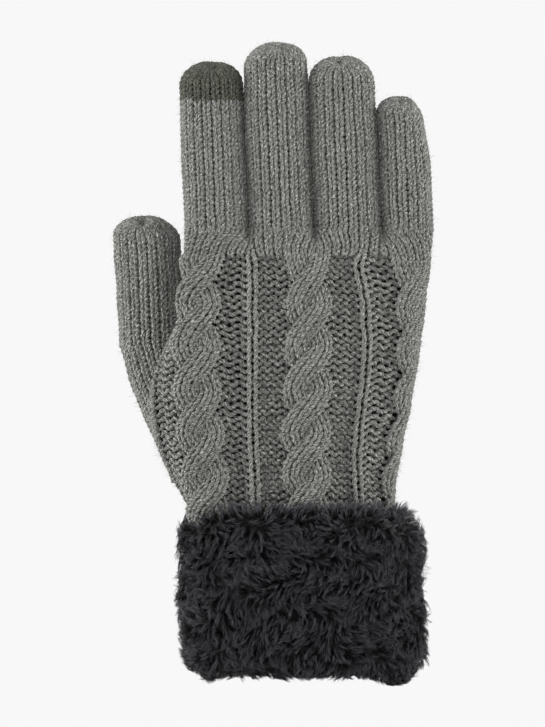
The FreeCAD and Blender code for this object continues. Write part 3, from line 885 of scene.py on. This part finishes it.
def cuff_rings(spots=CUFF_SPOTS, rings=CUFF_RINGS):
    table = np.array(CUFF_SECTION)
    arc = np.concatenate([[0], np.cumsum(np.hypot(np.diff(table[:, 0]) * 12, np.diff(table[:, 1])))])
    even = np.linspace(0, arc[-1], rings)
    spread, height = np.interp(even, arc, table[:, 0]), np.interp(even, arc, table[:, 1])
    kernel = np.array([1, 2, 3, 2, 1]) / 9
    spread = np.convolve(np.pad(spread, 2, mode="edge"), kernel, "valid")[:, None]
    height = np.repeat(height[:, None], spots, 1)
    mx, my = oval(*MOUTH_HALF, spots, 2.5)
    cx, cy = oval(*CUFF_HALF, spots, 2.25)
    turn = np.arctan2(cy / CUFF_HALF[1], cx / CUFF_HALF[0])[None]
    rise = 2 * math.pi * height / 30.0
    fade = np.clip(np.minimum(height, CUFF_HEIGHT - height) / 7.0, 0, 1)
    swell = TUFT_SWELL * fade * np.sin(10 * turn + 1.2 * np.sin(rise / 2)) * np.sin(rise + 2 * turn) * spread
    x = (mx + MOUTH_MIDDLE)[None] * (1 - spread) + (cx + swell * np.cos(turn) - 0.4) * spread
    y = my[None] * (1 - spread) + (cy + swell * np.sin(turn)) * spread
    # The band hangs lower at its two corners, most at the little-finger side
    hang = 5.6 * np.exp(-((x - 37.0) / 8.0) ** 2) + 2.6 * np.exp(-((x + 36.0) / 5.0) ** 2)
    height = height - hang * np.clip(1.3 - height / 24.0, 0, 1)
    # and its top edge dips at the sides
    height = height - 4.8 * np.clip(height / CUFF_HEIGHT, 0, 1) ** 5 * np.abs(x / 46.0) ** 3
    x = x + 1.4 * np.exp(-((height - 13.0) / 9.0) ** 2) * spread
    return np.stack([x, y, height], -1)


cuff = Tube(cuff_rings(), CUFF_RINGS, CUFF_SPOTS)
parts = Parts()
parts.skin(cuff.points)
made = parts.mesh("cuff_backing", [PLUSH_BACK])
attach(made, "hand")
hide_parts("fur_cuff")

# %% [markdown]
# ### The pile
#
# On the real band the pile is knitted into the backing and brushed. Here each tuft is rooted on the backing
# and falls towards the mouth. Five layers go from short and thick hairs to long and fine ones, each a piece
# of its own, so that none is too heavy to save whole.

# %% The pile
HAIR_POINTS = 4               # points along one hair


def drift(place, seed, size):
    """Slow smooth noise over the cuff, from -1 to 1."""
    noise = np.random.default_rng(seed)
    total = np.zeros(place.shape[:-1])
    for _ in range(9):
        way = unit(noise.normal(0, 1, 3))
        total += np.sin(place @ way * 2 * math.pi / (size * noise.uniform(0.6, 1.8)) + noise.uniform(0, 6.3))
    return np.clip(total / 4.0, -1, 1)


def pile(count, per_tuft, length, width, seed, stand=0.5):
    """Tufts of hairs. stand is the share of a hair's length that it stands off the backing."""
    noise = np.random.default_rng(seed)
    # Even cover: more tufts where the band's section is longer
    up, around = np.gradient(cuff.points, axis=0), np.roll(cuff.points, -1, 1) - cuff.points
    area = np.linalg.norm(np.cross(up, around), axis=-1)
    weight = area.ravel() * (np.arange(CUFF_RINGS)[:, None] > HIDDEN_RINGS).repeat(CUFF_SPOTS, 1).ravel()
    pick = noise.choice(weight.size, count, p=weight / weight.sum())
    ring, spot = pick // CUFF_SPOTS, pick % CUFF_SPOTS
    root, out = cuff.at(ring + noise.uniform(0, 1, count), spot + noise.uniform(0, 1, count))
    down = np.array([0.0, 0.0, -1.0])
    round_way = unit(np.cross(out, down))
    fall = unit(np.cross(round_way, out))
    fall = np.where((fall @ down)[:, None] < 0, -fall, fall)
    swirl = 1.7 * drift(root, 5, 24.0) + 1.1 * drift(root, 6, 9.0)
    swirl = swirl + noise.normal(0, 0.28, count) + root[:, 0] / 50
    lean = np.cos(swirl)[:, None] * fall + np.sin(swirl)[:, None] * round_way
    # Near both edges the pile is shorter, and at the top one it turns upwards
    high = smooth((root[:, 2:] - 60.0) / 6.0)
    low = smooth((12.0 - root[:, 2:]) / 7.0)
    lean = unit(lean * (1 - high) + (0.6 * round_way * np.sin(swirl)[:, None] - 0.9 * down) * high)
    size = length * noise.uniform(0.75, 1.2, count) * (1 - 0.2 * high[:, 0] - 0.4 * low[:, 0])
    rise = stand * noise.uniform(0.75, 1.15, count) * (1 + 0.25 * drift(root, 7, 7.0))
    tip = root + out * (size * rise)[:, None] + lean * (size * 0.85)[:, None]
    curl = round_way * np.sin(swirl * 2 + 1)[:, None] + 0.5 * noise.normal(0, 1, (count, 3))
    steps = np.linspace(0, 1, HAIR_POINTS)[None, None, :, None]
    shift = noise.normal(0, 0.6, (count, per_tuft, 3))
    base = root[:, None] + shift - out[:, None] * (shift * out[:, None]).sum(-1, keepdims=True)
    stem = (out * (size * rise)[:, None])[:, None] * noise.uniform(0.8, 1.15, (count, per_tuft, 1))
    end = tip[:, None] + noise.normal(0, 0.36, (count, per_tuft, 3))
    base, stem, end = (v[:, :, None] for v in (base, stem, end))
    paths = (1 - steps) ** 2 * base + 2 * steps * (1 - steps) * (base + stem) + steps ** 2 * end
    paths = paths + (curl * (size * 0.14)[:, None])[:, None, None] * np.sin(steps * math.pi * 1.5)
    paths[..., 2] = np.maximum(paths[..., 2], 0.15)
    paths = paths.reshape(count * per_tuft, HAIR_POINTS, 3)
    return paths, noise.uniform(0.75, 1.25, len(paths)) * width


for label, count, per_tuft, length, width, stand, seed in (
    ("plush_pile_short", 1580, 7, 4.3, 0.23, 0.48, 61),
    ("plush_pile_under", 1580, 7, 4.5, 0.21, 0.51, 62),
    ("plush_pile_middle", 1580, 7, 4.7, 0.19, 0.54, 63),
    ("plush_pile_outer", 1580, 7, 5.0, 0.17, 0.58, 64),
    ("plush_pile_fine", 2200, 5, 5.2, 0.09, 0.62, 65),
):
    parts = Parts()
    paths, radius = pile(count, per_tuft, length, width, seed, stand)
    parts.hairs(paths, radius, 3)
    made = parts.mesh(label, [PLUSH])
    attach(made, "hand")
    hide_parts("fur_cuff")
    print(label, len(paths), "hairs")

# %% [markdown]
# ### The seam in the mouth
#
# The plush is folded in and sewn to the lining. The thread is one wavy strand round the inside of the
# mouth.

# %% The seam in the mouth
SEAM_HEIGHT = 6.6             # of the seam thread, up inside the mouth
SEAM_STITCHES = 60
SEAM_POINTS = 1200
t = np.linspace(0, 2 * math.pi, SEAM_POINTS + 1)
mx, my = oval(MOUTH_HALF[0] - 0.4, MOUTH_HALF[1] - 0.4, SEAM_POINTS, 2.5)
ring = np.stack([mx + MOUTH_MIDDLE, my, np.full(SEAM_POINTS, SEAM_HEIGHT)], -1)
ring = np.concatenate([ring, ring[:1]])
ring[:, 2] += 0.7 * np.sin(t * SEAM_STITCHES)
parts = Parts()
parts.strand(ring, np.stack([ring[:, 0] - MOUTH_MIDDLE, ring[:, 1], np.zeros(len(t))], -1), 0.28, 5)
made = parts.mesh("mouth_seam_thread", [THREAD])
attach(made, "hand")
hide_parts("cuff_hem_seam")

# %% [markdown]
# ## Floor, light and camera
#
# The floor and the backdrop are plain and pale. Two broad lights at the sides graze the loops, a key light
# in front fills them, and weaker ones stand above and behind.

# %% The stage
def stage_material(name, colour, seen):
    """A plain floor or backdrop. seen is the colour that the camera gets straight from it."""
    material, tree = new_material(name)
    shader = node(tree, "ShaderNodeBsdfPrincipled", {"Base Color": rgb(colour), "Roughness": 0.9,
                                                     "Specular IOR Level": 0.1})
    plain = node(tree, "ShaderNodeEmission", {"Color": rgb(seen), "Strength": 1.0})
    path_kind = node(tree, "ShaderNodeLightPath")
    mix = node(tree, "ShaderNodeMixShader", {0: path_kind.outputs["Is Camera Ray"], 1: shader.outputs[0],
                                             2: plain.outputs[0]})
    node(tree, "ShaderNodeOutputMaterial", {"Surface": mix.outputs[0]})
    return material


bpy.ops.mesh.primitive_plane_add(size=6.0, location=(0, 0, -0.0005))
floor = bpy.context.object
floor.name = "floor"
floor.data.materials.append(stage_material("pale floor", "#e8e8e8", "#f8f8f8"))

world = bpy.data.worlds.new("studio")
bpy.context.scene.world = world
world.use_nodes = True
tree = world.node_tree
tree.nodes.clear()
soft = node(tree, "ShaderNodeBackground", {"Color": rgb("#ffffff"), "Strength": 0.14})
plain = node(tree, "ShaderNodeBackground", {"Color": rgb("#f8f8f8"), "Strength": 1.0})
path_kind = node(tree, "ShaderNodeLightPath")
mix = node(tree, "ShaderNodeMixShader", {0: path_kind.outputs["Is Camera Ray"], 1: soft.outputs[0],
                                         2: plain.outputs[0]})
node(tree, "ShaderNodeOutputWorld", {"Surface": mix.outputs[0]})


def area_light(name, place, target, size, power):
    light = bpy.data.lights.new(name, "AREA")
    light.size = size
    light.energy = power
    made = bpy.data.objects.new(name, light)
    bpy.context.scene.collection.objects.link(made)
    made.location = place
    direction = np.array(target) - np.array(place)
    made.rotation_euler = Vector(direction).to_track_quat("-Z", "Y").to_euler()
    return made


area_light("key", (-0.15, -0.95, 0.65), (0, 0, 0.13), 0.3, 4.6)
area_light("left", (-0.95, -0.30, 0.40), (0, 0, 0.13), 0.45, 14.5)
area_light("right", (0.95, -0.30, 0.40), (0, 0, 0.13), 0.45, 14.5)
area_light("top", (0.0, -0.1, 1.1), (0, 0, 0.13), 0.5, 2.5)
area_light("back", (0.0, 1.0, 0.60), (0, 0, 0.13), 0.6, 11.0)

# %% [markdown]
# ### The camera
#
# A long lens looks level at the back of the hand.

# %% The camera
scene = bpy.context.scene
camera_data = bpy.data.cameras.new("camera")
camera_data.lens = 120
camera_data.sensor_fit = "HORIZONTAL"
camera_data.sensor_width = 36
camera = bpy.data.objects.new("camera", camera_data)
scene.collection.objects.link(camera)
distance = 0.2126 * camera_data.lens / camera_data.sensor_width
camera.location = (-0.0115, -distance, 0.1234)
camera.rotation_euler = (math.radians(90), 0, 0)
scene.camera = camera
scene.view_settings.view_transform = "Standard"

# %% Finish
print("scene built")
